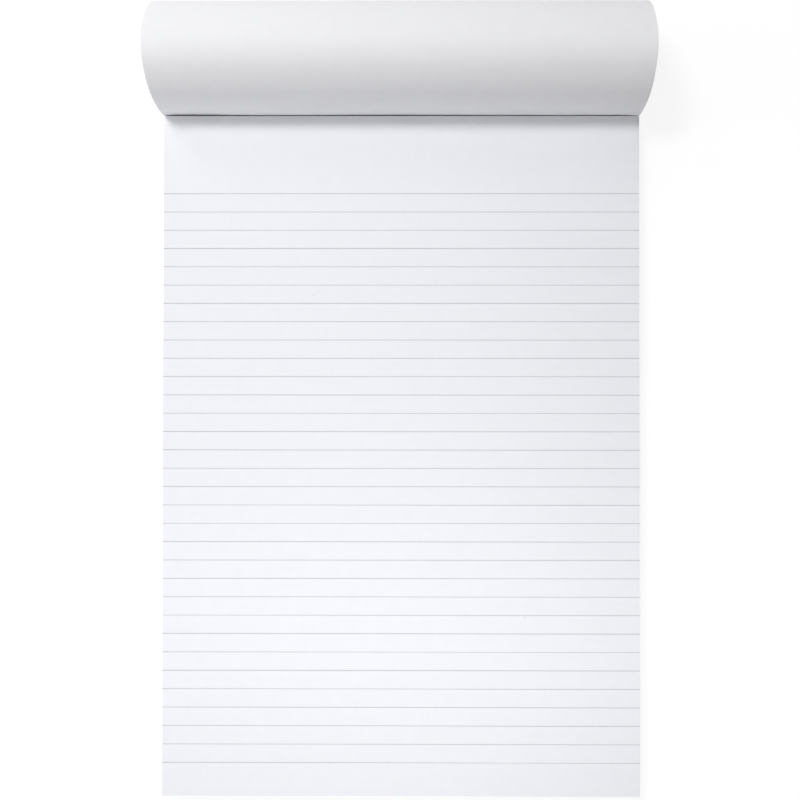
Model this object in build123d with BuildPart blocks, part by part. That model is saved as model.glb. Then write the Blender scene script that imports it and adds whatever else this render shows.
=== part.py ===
from build123d import *
import os
from math import cos, radians

os.makedirs("parts", exist_ok=True)

# A head-glued ruled pad that lies on a table with its cover folded back over the head.
# Millimetres. +Z is up, +Y points to the head edge, and the origin is under the middle of the whole.

# Leaves
page_width = 208.0
page_length = 297.0
leaf_count = 80
leaf_thickness = 0.09

# Ruling on the top leaf, with the least room that it leaves at the foot
line_pitch = 8.0
head_margin = 34.4
foot_margin = 14.0
line_width = 0.3
ink_film = 0.02

# Board under the leaves
board_thickness = 1.0

# Cover: one thin sheet, glued under the head of the board and scored level with the top leaf
cover_sheet = 0.25
glued_strip = 22.0
fold_radius = 0.5
score_radius = 1.5
# How far the sheet leans over the page where it leaves the score, in degrees
rise_lean = 3.3
# The roll over the head, from the score to its back: radius of each bend, and its turn in degrees
roll_bends = ((48.6, 20.0), (36.4, 25.0), (13.2, 40.0), (17.2, 35.0), (34.4, 30.0))
# Air between the sheet's flat tail on the table and the strip above it
lay_gap = 0.1

# Padding glue on the head edge, which stops a little short of the top leaf
glue_film = 0.4
glue_short = 0.8

# Heights above the table
half_sheet = cover_sheet / 2
strip_floor = cover_sheet + lay_gap
board_floor = strip_floor + cover_sheet
leaves_floor = board_floor + board_thickness
leaves_thickness = leaf_count * leaf_thickness
page_height = leaves_floor + leaves_thickness

# Lines that the leaf has room for
line_count = 1 + int((page_length - head_margin - foot_margin) // line_pitch)

# Middle of the cover sheet, from the head edge: x runs backwards from the edge, y up from the table
spine = glue_film + half_sheet
strip_level = strip_floor + half_sheet
fold_top = strip_level + fold_radius
with BuildLine() as cover_line:
    strip = Line((-glued_strip, strip_level), (spine - fold_radius, strip_level))
    fold = JernArc(strip @ 1, strip % 1, fold_radius, 90)
    rise = Line(fold @ 1, (spine, page_height))
    bends = [JernArc(rise @ 1, rise % 1, score_radius, rise_lean)]
    for radius, turn in roll_bends:
        bends.append(JernArc(bends[-1] @ 1, bends[-1] % 1, radius, -turn))
    # The last bend meets the table flat, so its radius follows from the height it falls
    heading = 90 + rise_lean - sum(turn for radius, turn in roll_bends)
    fall = (bends[-1] @ 1).Y - half_sheet
    landing_radius = fall / (1 + cos(radians(heading)))
    bends.append(JernArc(bends[-1] @ 1, bends[-1] % 1, landing_radius, -(180 + heading)))
    # The panel is as long as a leaf, and what the roll doesn't use lies under the pad
    tail_length = page_length - sum(bend.length for bend in bends)
    tail = Line(bends[-1] @ 1, (bends[-1] @ 1) - (tail_length, 0))

# The whole reaches from the foot edge to the back of the roll
roll_reach = cover_line.line.bounding_box().max.X + half_sheet
head_edge = (page_length - roll_reach) / 2
foot_edge = head_edge - page_length
page_middle = (head_edge + foot_edge) / 2

# Leaves
with BuildPart() as leaves:
    with BuildSketch(Plane((0, page_middle, leaves_floor))):
        Rectangle(page_width, page_length)
    extrude(amount=leaves_thickness)
leaves.part.label = "leaves"
export_step(leaves.part, "parts/leaves.step")

# Ruling
with BuildPart() as ruled_lines:
    with BuildSketch(Plane((0, head_edge - head_margin, page_height))):
        with Locations([(0, -number * line_pitch) for number in range(line_count)]):
            Rectangle(page_width, line_width)
    extrude(amount=ink_film)
ruled_lines.part.label = "ruled_lines"
export_step(ruled_lines.part, "parts/ruled_lines.step")

# Board
with BuildPart() as backing_board:
    with BuildSketch(Plane((0, page_middle, board_floor))):
        Rectangle(page_width, page_length)
    extrude(amount=board_thickness)
backing_board.part.label = "backing_board"
export_step(backing_board.part, "parts/backing_board.step")

# Cover
with BuildPart() as cover:
    with BuildSketch(Plane((0, head_edge, 0), x_dir=(0, 1, 0), z_dir=(1, 0, 0))):
        trace(cover_line.line, line_width=cover_sheet)
    extrude(amount=page_width / 2, both=True)
cover.part.label = "cover"
export_step(cover.part, "parts/cover.step")

# Padding glue, above the fold of the cover's spine
with BuildPart() as head_glue:
    with BuildSketch(Plane((0, head_edge, fold_top))):
        Rectangle(page_width, glue_film, align=(Align.CENTER, Align.MIN))
    extrude(amount=page_height - glue_short - fold_top)
head_glue.part.label = "head_glue"
export_step(head_glue.part, "parts/head_glue.step")
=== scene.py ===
import random
from math import cos, exp, pi, radians, sin

import bmesh
import bpy
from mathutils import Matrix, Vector


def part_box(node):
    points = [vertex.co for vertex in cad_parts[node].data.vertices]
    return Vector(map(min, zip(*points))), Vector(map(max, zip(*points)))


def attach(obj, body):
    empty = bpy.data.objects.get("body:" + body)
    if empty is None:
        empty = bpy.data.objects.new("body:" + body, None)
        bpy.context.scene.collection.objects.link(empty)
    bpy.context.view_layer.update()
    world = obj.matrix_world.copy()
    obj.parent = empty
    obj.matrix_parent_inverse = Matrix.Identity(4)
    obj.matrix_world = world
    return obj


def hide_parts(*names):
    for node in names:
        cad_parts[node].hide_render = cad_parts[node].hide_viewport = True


# A ruled white pad, seen from straight above, with its cover rolled back over the head edge.
# Metres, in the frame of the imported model: +Y points to the head edge and +Z up.

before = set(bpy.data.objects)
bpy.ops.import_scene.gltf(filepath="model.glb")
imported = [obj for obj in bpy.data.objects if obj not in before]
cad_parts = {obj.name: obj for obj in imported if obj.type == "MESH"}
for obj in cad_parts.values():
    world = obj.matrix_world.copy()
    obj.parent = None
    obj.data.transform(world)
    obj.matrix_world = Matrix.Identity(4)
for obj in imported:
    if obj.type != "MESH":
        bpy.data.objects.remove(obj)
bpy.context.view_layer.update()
bpy.ops.object.select_all(action="DESELECT")

# Places and sizes that the frame gives
page_low, page_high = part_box("leaves")
board_low, board_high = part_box("backing_board")
cover_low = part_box("cover")[0]
glue_low, glue_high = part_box("head_glue")
lines_low, lines_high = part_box("ruled_lines")
page_width = page_high.x - page_low.x
page_length = page_high.y - page_low.y
page_top = page_high.z
head_edge = page_high.y
page_middle = (page_low.y + page_high.y) / 2

# Leaves: each is a little thinner than its share of the block, and trimmed a hair off true
leaf_count = 80
leaf_pitch = (page_high.z - page_low.z) / leaf_count
leaf_thickness = 0.92 * leaf_pitch
leaf_columns = 13
leaf_rows = 18
trim_inset = 0.00003
trim_scatter = 0.00003
# The block's head is trimmed this much shorter, which makes room for the slot at the score, and
# points as near the head edge as this belong to it
head_trim = 0.00035
head_zone = 0.001

# Waves of the paper at the top of the block: height, wavelengths across and along, and start
page_waves = (
    (0.00006, 0.19, 0.61, 0.7),
    (0.00008, -0.83, 0.173, 2.1),
)

# Ruling
line_count = 32
line_width = 0.0003
line_columns = 26
ink_film = 0.00002

# Board
board_arris = 0.00012

# Padding glue: how far its brushed top stops below the solid's, and how uneven that top is. Its
# front, this deep, is moved up to the trimmed leaves, and a little air is left there
glue_drop = 0.002
glue_ripple = 0.0002
glue_front = 0.0001
glue_air = 0.00004
glue_cuts = 40

# Cover: its sheet, the strip under the board, and the bends of its roll in order from the score
cover_sheet = 0.00025
half_sheet = cover_sheet / 2
glued_strip = 0.022
fold_radius = 0.0005
score_radius = 0.0015
rise_lean = radians(5.1)
roll_bends = (
    (0.0447, radians(25)),
    (0.0277, radians(30)),
    (0.0171, radians(30.5)),
    (0.0122, radians(33)),
    (0.0349, radians(34)),
)
bend_step = radians(2.5)
cover_columns = 72
strip_rows = 3
spine_rows = 6
tail_rows = 24

# Slot between the page and the cover at the score: its usual width, and each change of width
# with its place and reach along the head, wider where the glue holds less
slot_width = 0.00038
slot_changes = (
    (0.0004, -0.091, 0.016),
    (0.00017, 0, 0.03),
    (-0.00025, page_low.x, 0.003),
    (-0.00025, page_high.x, 0.003),
)
# How far behind the head edge the front wall is eased, and how high over the page
lean_depth = 0.004
lean_height = 0.012
# A faint swell along the roll, which has its full depth from this height over the page
swell_depth = 0.00003
swell_length = 0.23
swell_height = 0.02


# Selecting and shaping

def select_only(piece):
    bpy.ops.object.select_all(action="DESELECT")
    piece.select_set(True)
    bpy.context.view_layer.objects.active = piece


def select_edges(piece, test):
    """In edit mode, selects the edges with both ends where the test says."""
    mesh = bmesh.from_edit_mesh(piece.data)
    for part in (*mesh.verts, *mesh.edges, *mesh.faces):
        part.select_set(False)
    for edge in mesh.edges:
        if all(test(end.co) for end in edge.verts):
            edge.select_set(True)
    bmesh.update_edit_mesh(piece.data)


def name_and_size(piece, name, size):
    """Names a new primitive and moves its place and size into its mesh."""
    piece.name = name
    piece.data.name = name
    piece.scale = size
    select_only(piece)
    bpy.ops.object.transform_apply(location=True, rotation=True, scale=True)


def add_sheet(name, middle, size, columns, rows):
    """A flat subdivided sheet, facing up."""
    bpy.ops.mesh.primitive_grid_add(
        x_subdivisions=columns, y_subdivisions=rows, size=1, location=middle
    )
    piece = bpy.context.object
    name_and_size(piece, name, (*size, 1))
    return piece


def add_block(name, low, high):
    bpy.ops.mesh.primitive_cube_add(size=1, location=(low + high) / 2)
    piece = bpy.context.object
    name_and_size(piece, name, high - low)
    return piece


def apply_modifier(piece, kind, **settings):
    select_only(piece)
    modifier = piece.modifiers.new(kind.lower(), kind)
    for name, value in settings.items():
        setattr(modifier, name, value)
    bpy.ops.object.modifier_apply(modifier=modifier.name)


def repeat(piece, count, step):
    """Copies the piece's mesh in a row, one step after another."""
    apply_modifier(
        piece,
        "ARRAY",
        count=count,
        use_relative_offset=False,
        use_constant_offset=True,
        constant_offset_displace=step,
    )


def move_points(piece, move):
    """Puts each point of a mesh where the function says."""
    normals = [normal.vector.copy() for normal in piece.data.vertex_normals]
    for point, normal in zip(piece.data.vertices, normals):
        point.co = move(point.co.copy(), normal)
    piece.data.update()


def dress(piece, material, replaced):
    """Gives a finished piece its material, smooth shading and body, and hides the node that it
    stands for.
    """
    piece.data.materials.clear()
    piece.data.materials.append(material)
    select_only(piece)
    bpy.ops.object.shade_smooth_by_angle(angle=radians(35))
    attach(piece, "root")
    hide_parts(replaced)


# Joining nodes

def add_math(tree, operation, *operands):
    """Adds a Math node on sockets or plain numbers, and gives its result."""
    node = tree.nodes.new("ShaderNodeMath")
    node.operation = operation
    for place, operand in enumerate(operands):
        if isinstance(operand, bpy.types.NodeSocket):
            tree.links.new(operand, node.inputs[place])
        else:
            node.inputs[place].default_value = operand
    return node.outputs[0]


def add_range(tree, value, **limits):
    """Adds a Map Range node with the limits that are given, and gives its result."""
    node = tree.nodes.new("ShaderNodeMapRange")
    for name, limit in limits.items():
        node.inputs[name.replace("_", " ").title()].default_value = limit
    tree.links.new(value, node.inputs["Value"])
    return node.outputs["Result"]


def add_mix(tree, factor, first, second):
    """Adds a Mix node between two colours or colour sockets, and gives its result."""
    node = tree.nodes.new("ShaderNodeMix")
    node.data_type = "RGBA"
    tree.links.new(factor, node.inputs["Factor"])
    for side, colour in (("A", first), ("B", second)):
        if isinstance(colour, bpy.types.NodeSocket):
            tree.links.new(colour, node.inputs[side])
        else:
            node.inputs[side].default_value = (*colour, 1)
    return node.outputs["Result"]


def add_noise(tree, vector, detail, **looks):
    """Adds a Noise Texture and gives the node. Its scale is 1 unless another is joined."""
    node = tree.nodes.new("ShaderNodeTexNoise")
    node.inputs["Scale"].default_value = 1
    node.inputs["Detail"].default_value = detail
    for name, value in looks.items():
        node.inputs[name.title()].default_value = value
    tree.links.new(vector, node.inputs["Vector"])
    return node


def add_stretch(tree, vector, scale):
    """Adds a Mapping node that stretches the vector, and gives its result."""
    node = tree.nodes.new("ShaderNodeMapping")
    node.inputs["Scale"].default_value = scale
    tree.links.new(vector, node.inputs["Vector"])
    return node.outputs["Vector"]


def new_group(name, inputs, outputs):
    """A node group with named sockets, and what comes in and goes out inside it."""
    group = bpy.data.node_groups.new(name, "ShaderNodeTree")
    for label, kind, value in inputs:
        socket = group.interface.new_socket(label, in_out="INPUT", socket_type=kind)
        socket.default_value = value
    for label, kind in outputs:
        group.interface.new_socket(label, in_out="OUTPUT", socket_type=kind)
    inside = group.nodes.new("NodeGroupInput").outputs
    outside = group.nodes.new("NodeGroupOutput").inputs
    return group, inside, outside


def new_material(name):
    """A material, with its node tree and its Principled BSDF."""
    material = bpy.data.materials.new(name)
    material.use_nodes = True
    return material, material.node_tree, material.node_tree.nodes["Principled BSDF"]


# Materials

def make_paper_group():
    """Cloudy formation, fine fibres and a few specks, as an uncoated paper has."""
    group, inside, outside = new_group(
        "paper_fibre",
        (
            ("Vector", "NodeSocketVector", (0, 0, 0)),
            ("Paper", "NodeSocketColor", (0.88, 0.88, 0.9, 1)),
            ("Shade", "NodeSocketColor", (0.84, 0.84, 0.86, 1)),
            ("Speck", "NodeSocketColor", (0.5, 0.48, 0.45, 1)),
            ("Cloud Scale", "NodeSocketFloat", 220.0),
            ("Fibre Scale", "NodeSocketFloat", 1800.0),
            ("Speck Scale", "NodeSocketFloat", 60.0),
            ("Speck Size", "NodeSocketFloat", 0.01),
        ),
        (
            ("Color", "NodeSocketColor"),
            ("Roughness", "NodeSocketFloat"),
            ("Height", "NodeSocketFloat"),
        ),
    )
    cloud = add_noise(group, inside["Vector"], 3, roughness=0.55)
    group.links.new(inside["Cloud Scale"], cloud.inputs["Scale"])
    grain = add_stretch(group, inside["Vector"], (1, 0.35, 1))
    fibre = add_noise(group, grain, 5, roughness=0.7, distortion=0.8)
    group.links.new(inside["Fibre Scale"], fibre.inputs["Scale"])
    cells = group.nodes.new("ShaderNodeTexVoronoi")
    group.links.new(inside["Vector"], cells.inputs["Vector"])
    group.links.new(inside["Speck Scale"], cells.inputs["Scale"])
    speck = add_math(group, "LESS_THAN", cells.outputs["Distance"], inside["Speck Size"])

    half_cloud = add_math(group, "MULTIPLY", cloud.outputs["Fac"], 0.5)
    tone = add_math(group, "MULTIPLY_ADD", fibre.outputs["Fac"], 0.5, half_cloud)
    spread = add_range(group, tone, from_min=0.3, from_max=0.7)
    plain = add_mix(group, spread, inside["Shade"], inside["Paper"])
    group.links.new(add_mix(group, speck, plain, inside["Speck"]), outside["Color"])
    rough = add_range(group, fibre.outputs["Fac"], to_min=0.78, to_max=0.92)
    group.links.new(rough, outside["Roughness"])
    group.links.new(tone, outside["Height"])
    return group


def make_knife_group():
    """Upright streaks that the guillotine leaves on trimmed edges, and none on the flat faces."""
    group, inside, outside = new_group(
        "knife_streaks",
        (
            ("Vector", "NodeSocketVector", (0, 0, 0)),
            ("Normal", "NodeSocketVector", (0, 0, 1)),
            ("Color", "NodeSocketColor", (0.88, 0.88, 0.9, 1)),
            ("Streak", "NodeSocketColor", (0.7, 0.7, 0.7, 1)),
            ("Amount", "NodeSocketFloat", 0.5),
            ("Height", "NodeSocketFloat", 0.5),
        ),
        (("Color", "NodeSocketColor"), ("Height", "NodeSocketFloat")),
    )
    upright = add_stretch(group, inside["Vector"], (1300, 1300, 60))
    nick = add_noise(group, upright, 4, roughness=0.65)
    streak = add_range(group, nick.outputs["Fac"], from_min=0.45, from_max=0.75)
    facing = group.nodes.new("ShaderNodeSeparateXYZ")
    group.links.new(inside["Normal"], facing.inputs[0])
    flatness = add_math(group, "ABSOLUTE", facing.outputs["Z"])
    edge = add_math(group, "LESS_THAN", flatness, 0.5)
    on_edge = add_math(group, "MULTIPLY", streak, edge)
    mask = add_math(group, "MULTIPLY", on_edge, inside["Amount"])
    group.links.new(add_mix(group, mask, inside["Color"], inside["Streak"]), outside["Color"])
    group.links.new(add_math(group, "SUBTRACT", inside["Height"], mask), outside["Height"])
    return group


paper_fibre = make_paper_group()
knife_streaks = make_knife_group()
paper_speck = (0.6, 0.58, 0.56)


def make_paper(
    name, paper, shade, speck=paper_speck, speck_size=0.012, fibre_scale=1800, bump=0.12
):
    """A paper, board, ink or glue from the fibre group, with its own colours and relief."""
    material, tree, shader = new_material(name)
    place = tree.nodes.new("ShaderNodeTexCoord")
    fibre = tree.nodes.new("ShaderNodeGroup")
    fibre.node_tree = paper_fibre
    fibre.inputs["Paper"].default_value = (*paper, 1)
    fibre.inputs["Shade"].default_value = (*shade, 1)
    fibre.inputs["Speck"].default_value = (*speck, 1)
    fibre.inputs["Speck Size"].default_value = speck_size
    fibre.inputs["Fibre Scale"].default_value = fibre_scale
    relief = tree.nodes.new("ShaderNodeBump")
    relief.inputs["Strength"].default_value = bump
    relief.inputs["Distance"].default_value = 0.00005
    tree.links.new(place.outputs["Object"], fibre.inputs["Vector"])
    tree.links.new(fibre.outputs["Color"], shader.inputs["Base Color"])
    tree.links.new(fibre.outputs["Roughness"], shader.inputs["Roughness"])
    tree.links.new(fibre.outputs["Height"], relief.inputs["Height"])
    tree.links.new(relief.outputs["Normal"], shader.inputs["Normal"])
    shader.inputs["Specular IOR Level"].default_value = 0.25
    return material


def cut_edges(material, streak, amount):
    """Puts the knife's streaks between a paper's fibre and its shader."""
    nodes, links = material.node_tree.nodes, material.node_tree.links
    fibre, place = nodes["Group"], nodes["Texture Coordinate"]
    knife = nodes.new("ShaderNodeGroup")
    knife.node_tree = knife_streaks
    knife.inputs["Streak"].default_value = (*streak, 1)
    knife.inputs["Amount"].default_value = amount
    links.new(place.outputs["Object"], knife.inputs["Vector"])
    links.new(place.outputs["Normal"], knife.inputs["Normal"])
    links.new(fibre.outputs["Color"], knife.inputs["Color"])
    links.new(fibre.outputs["Height"], knife.inputs["Height"])
    links.new(knife.outputs["Color"], nodes["Principled BSDF"].inputs["Base Color"])
    links.new(knife.outputs["Height"], nodes["Bump"].inputs["Height"])


def uneven_ink(material, strong, weak):
    """Prints some lines, and some stretches of a line, stronger than others."""
    tree = material.node_tree
    place = tree.nodes["Texture Coordinate"].outputs["Object"]
    press = add_noise(tree, add_stretch(tree, place, (4, 125, 0)), 1)
    amount = add_range(tree, press.outputs["Fac"], from_min=0.3, from_max=0.7)
    for side, share in (("Paper", 1.0), ("Shade", 0.93)):
        film = add_mix(
            tree, amount, [share * part for part in strong], [share * part for part in weak]
        )
        tree.links.new(film, tree.nodes["Group"].inputs[side])


leaf_paper = make_paper("leaf_paper", (0.893, 0.9, 0.94), (0.866, 0.873, 0.915))
cut_edges(leaf_paper, (0.66, 0.65, 0.64), 0.3)
cover_paper = make_paper("cover_paper", (0.9, 0.902, 0.925), (0.873, 0.875, 0.9))
strong_ink = (0.51, 0.51, 0.57)
weak_ink = (0.65, 0.65, 0.7)
ruling_ink = make_paper("ruling_ink", weak_ink, strong_ink, speck=(0.5, 0.5, 0.55))
uneven_ink(ruling_ink, strong_ink, weak_ink)
greyboard = make_paper(
    "greyboard",
    (0.36, 0.335, 0.3),
    (0.27, 0.25, 0.22),
    speck=(0.14, 0.12, 0.1),
    speck_size=0.12,
    fibre_scale=900,
    bump=0.5,
)
cut_edges(greyboard, (0.2, 0.18, 0.16), 0.5)
# The glue's grey is kept darker than a padding glue's own colour: painted shade for the slot
# between the page and the cover at the head, where the glue's top is seen
padding_glue = make_paper(
    "padding_glue", (0.54, 0.54, 0.52), (0.46, 0.46, 0.44), speck_size=0, fibre_scale=500, bump=0.4
)


# Leaves

def page_wave(x, y):
    """How far the paper at the top of the block stands off flat."""
    return sum(
        height * sin(2 * pi * (x / across + y / along) + start)
        for height, across, along, start in page_waves
    )


def make_leaves():
    """The block, leaf by leaf, each trimmed a hair differently from the next."""
    block = add_sheet(
        "leaf_block",
        (0, page_middle, page_low.z + leaf_pitch / 2),
        (page_width - 2 * trim_inset, page_length - 2 * trim_inset),
        leaf_columns,
        leaf_rows,
    )
    apply_modifier(block, "SOLIDIFY", thickness=leaf_thickness, offset=0)
    repeat(block, leaf_count, (0, 0, leaf_pitch))
    chance = random.Random(11)
    scatter = []
    for leaf in range(leaf_count):
        aside = chance.uniform(-1, 1) * trim_scatter
        along = chance.uniform(-1, 1) * trim_scatter
        scatter.append((aside, along))

    def place(point, normal):
        leaf = min(leaf_count - 1, int((point.z - page_low.z) / leaf_pitch))
        aside, along = scatter[leaf]
        # The waves die out towards the board
        share = ((leaf + 1) / leaf_count) ** 2
        rise = share * page_wave(point.x, point.y)
        trim = head_trim if point.y > head_edge - head_zone else 0
        return point + Vector((aside, along - trim, rise))

    move_points(block, place)
    dress(block, leaf_paper, "leaves")


# Ruling

def make_ruling():
    """The printed lines, which follow the paper."""
    pitch = (lines_high.y - lines_low.y - line_width) / (line_count - 1)
    lines = add_sheet(
        "ruling",
        (0, lines_high.y - line_width / 2, page_top + ink_film / 2),
        (page_width - 3 * trim_inset, line_width),
        line_columns,
        1,
    )
    repeat(lines, line_count, (0, -pitch, 0))
    apply_modifier(lines, "SOLIDIFY", thickness=ink_film, offset=0)
    move_points(
        lines, lambda point, normal: point + Vector((0, 0, page_wave(point.x, point.y)))
    )
    dress(lines, ruling_ink, "ruled_lines")


# Board

def make_board():
    """The greyboard, with the soft arris that a cut board has."""
    board = add_block("back_board", board_low, board_high)
    apply_modifier(board, "BEVEL", width=board_arris, segments=2)
    dress(board, greyboard, "backing_board")


# Padding glue

def make_glue():
    """The brushed film on the head edges, uneven along its top, and thicker above the board."""
    glue = add_block("glue_film", glue_low, glue_high)
    bpy.ops.object.mode_set(mode="EDIT")
    bpy.ops.mesh.select_all(action="SELECT")
    bpy.ops.mesh.subdivide(number_cuts=glue_cuts)
    bpy.ops.object.mode_set(mode="OBJECT")

    def brush(point, normal):
        share = (point.z - glue_low.z) / (glue_high.z - glue_low.z)
        ripple = glue_ripple * sin(point.x * 410) * sin(point.x * 173 + 1)
        point.z -= share * (glue_drop + ripple)
        if point.y < glue_low.y + glue_front and point.z > board_high.z:
            point.y -= head_trim - glue_air
        return point

    move_points(glue, brush)
    dress(glue, padding_glue, "head_glue")


# Cover

class Section:
    """Draws the cover's section with the open edge of a sheet, from a place and heading in YZ."""

    def __init__(self, y, z, heading):
        self.y = y
        self.z = z
        self.heading = heading

    def run(self, length, steps):
        move = (0, cos(self.heading) * length / steps, sin(self.heading) * length / steps)
        for step in range(steps):
            bpy.ops.mesh.extrude_edges_move(TRANSFORM_OT_translate={"value": move})
        self.y += cos(self.heading) * length
        self.z += sin(self.heading) * length

    def bend(self, radius, turn):
        """Turns left for a positive turn; the spin's own sign runs the other way, about -X."""
        side = 1 if turn > 0 else -1
        centre_y = self.y - side * radius * sin(self.heading)
        centre_z = self.z + side * radius * cos(self.heading)
        steps = max(2, round(abs(turn) / bend_step))
        bpy.ops.mesh.spin(
            steps=steps, angle=turn, center=(0, centre_y, centre_z), axis=(-1, 0, 0)
        )
        self.heading += turn
        self.y = centre_y + side * radius * sin(self.heading)
        self.z = centre_z - side * radius * cos(self.heading)


def slot_at(x):
    """Width of the slot between the page and the cover at the score."""
    changes = (
        change * exp(-(((x - place) / reach) ** 2)) for change, place, reach in slot_changes
    )
    return slot_width + sum(changes)


def ease_cover(point, normal):
    """Small departures of a limp sheet from its section, only where it is free."""
    if point.y < head_edge + lean_depth:
        glue_top = glue_high.z - glue_drop + glue_ripple
        if point.z < page_top:
            lean = max(0, (point.z - glue_top) / (page_top - glue_top))
        else:
            lean = max(0, 1 - (point.z - page_top) / lean_height)
        open_width = glue_high.y - head_edge + head_trim
        point.y += lean * (slot_at(point.x) - open_width)
    free = min(1, max(0, (point.z - page_top) / swell_height))
    swell = sin(2 * pi * point.x / swell_length + 30 * point.z + 0.4) - 1
    return point + normal * free * swell_depth * swell


def make_cover():
    """One sheet: the glued strip, the spine, the roll over the head and the tail under the pad."""
    spine = glue_high.y + half_sheet
    strip_level = board_low.z - half_sheet
    strip_start = head_edge - glued_strip
    strip_end = spine - fold_radius
    cover = add_sheet(
        "cover_sheet",
        (0, (strip_start + strip_end) / 2, strip_level),
        (page_width - 2 * trim_inset, strip_end - strip_start),
        cover_columns,
        strip_rows,
    )
    bpy.ops.object.mode_set(mode="EDIT")
    bpy.ops.mesh.select_mode(type="EDGE")
    select_edges(cover, lambda point: point.y > strip_end - 0.00001)
    section = Section(strip_end, strip_level, 0)
    section.bend(fold_radius, radians(90))
    section.run(page_top - section.z, spine_rows)
    section.bend(score_radius, rise_lean)
    for radius, turn in roll_bends:
        section.bend(radius, -turn)
    # The last bend meets the table flat, so its radius follows from the height it falls
    landing_radius = (section.z - half_sheet) / (1 + cos(section.heading))
    section.bend(landing_radius, -(pi + section.heading))
    section.run(section.y - cover_low.y, tail_rows)
    bpy.ops.mesh.select_all(action="SELECT")
    bpy.ops.mesh.normals_make_consistent(inside=False)
    bpy.ops.object.mode_set(mode="OBJECT")
    move_points(cover, ease_cover)
    apply_modifier(cover, "SOLIDIFY", thickness=cover_sheet, offset=0, use_even_offset=True)
    dress(cover, cover_paper, "cover")


make_leaves()
make_ruling()
make_board()
make_glue()
make_cover()


# Floor and room

def seen_rays(tree):
    """1 for rays from the camera, from a gloss or through a clear piece, and 0 for the rest."""
    path = tree.nodes.new("ShaderNodeLightPath").outputs
    eye_or_gloss = add_math(tree, "MAXIMUM", path["Is Camera Ray"], path["Is Glossy Ray"])
    return add_math(tree, "MAXIMUM", eye_or_gloss, path["Is Transmission Ray"])


def show_by_ray(tree, real, seen, output):
    """Lights with the real shader, and shows the other one to the rays that see it."""
    choice = tree.nodes.new("ShaderNodeMixShader")
    tree.links.new(seen_rays(tree), choice.inputs["Fac"])
    tree.links.new(real.outputs[0], choice.inputs[1])
    tree.links.new(seen.outputs[0], choice.inputs[2])
    tree.links.new(choice.outputs[0], tree.nodes[output].inputs["Surface"])


def make_floor():
    """White to the eye, and whiter still far off, with the pad's shadow on it."""
    floor = add_sheet("floor", (0, 0, 0), (6, 6), 1, 1)
    material, tree, shader = new_material("white_floor")
    shader.inputs["Base Color"].default_value = (0.8, 0.8, 0.8, 1)
    shader.inputs["Roughness"].default_value = 0.9
    shader.inputs["Specular IOR Level"].default_value = 0.0
    place = tree.nodes.new("ShaderNodeTexCoord")
    distance = tree.nodes.new("ShaderNodeVectorMath")
    distance.operation = "LENGTH"
    tree.links.new(place.outputs["Object"], distance.inputs[0])
    strength = add_range(
        tree, distance.outputs["Value"], from_min=0.5, from_max=1.4, to_min=0.88, to_max=1
    )
    glow = tree.nodes.new("ShaderNodeEmission")
    tree.links.new(strength, glow.inputs["Strength"])
    shade = tree.nodes.new("ShaderNodeBsdfDiffuse")
    shade.inputs["Color"].default_value = (0.16, 0.16, 0.16, 1)
    white = tree.nodes.new("ShaderNodeAddShader")
    tree.links.new(shade.outputs[0], white.inputs[0])
    tree.links.new(glow.outputs[0], white.inputs[1])
    show_by_ray(tree, shader, white, "Material Output")
    floor.data.materials.append(material)


def make_world(strength):
    """An even light from all round, which looks white."""
    world = bpy.data.worlds.new("studio")
    world.use_nodes = True
    tree = world.node_tree
    room = tree.nodes["Background"]
    room.inputs["Color"].default_value = (1, 1, 1, 1)
    room.inputs["Strength"].default_value = strength
    white = tree.nodes.new("ShaderNodeBackground")
    white.inputs["Color"].default_value = (1, 1, 1, 1)
    white.inputs["Strength"].default_value = 1
    show_by_ray(tree, room, white, "World Output")
    bpy.context.scene.world = world


make_floor()
make_world(0.185)


# Lamps

def add_softbox(name, place, target, size, power, spread=180):
    """An oblong lamp that faces its target. The spread is in degrees."""
    data = bpy.data.lights.new(name, "AREA")
    data.shape = "RECTANGLE"
    data.size, data.size_y = size
    data.energy = power
    data.spread = radians(spread)
    lamp = bpy.data.objects.new(name, data)
    lamp.location = place
    lamp.rotation_euler = (Vector(target) - Vector(place)).to_track_quat("-Z", "Y").to_euler()
    bpy.context.scene.collection.objects.link(lamp)


add_softbox("key", (-0.38, 0.49, 0.9), (0, 0, 0), (0.3, 0.17), 5.76)
add_softbox("left_fill", (-0.9, 0.2, 0.5), (0, 0, 0), (0.4, 0.4), 2.01)
add_softbox("head_fill", (-0.6, 0.9, 0.7), (0, 0.1, 0), (0.4, 0.4), 1.85)
add_softbox("foot_fill", (-0.3, -0.9, 0.5), (0, 0.1, 0), (0.5, 0.3), 1.66)
add_softbox("low_fill", (-0.75, -0.35, 0.15), (0, 0.1, 0.02), (0.3, 0.1), 1.12)
# Two weak narrow beams, for the lighter lower half of the page
add_softbox("page_pool", (0, -0.15, 1.0), (0.03, -0.12, 0), (0.3, 0.3), 0.082, 25)
add_softbox("page_band", (-0.05, -0.105, 0.5), (-0.05, -0.105, 0), (0.5, 0.05), 0.0065, 20)


# Camera: straight above the page, with the frame of the photograph

def make_camera():
    data = bpy.data.cameras.new("camera")
    data.sensor_width = 36
    data.lens = 43.187
    data.shift_x = -0.02525
    data.shift_y = -0.04812
    camera = bpy.data.objects.new("camera", data)
    camera.location = (0.009958, 0.014914, 0.427782)
    camera.rotation_euler = (radians(0.4574), radians(0.2246), radians(0.032))
    bpy.context.scene.collection.objects.link(camera)
    bpy.context.scene.camera = camera


make_camera()
bpy.context.scene.view_settings.view_transform = "Standard"
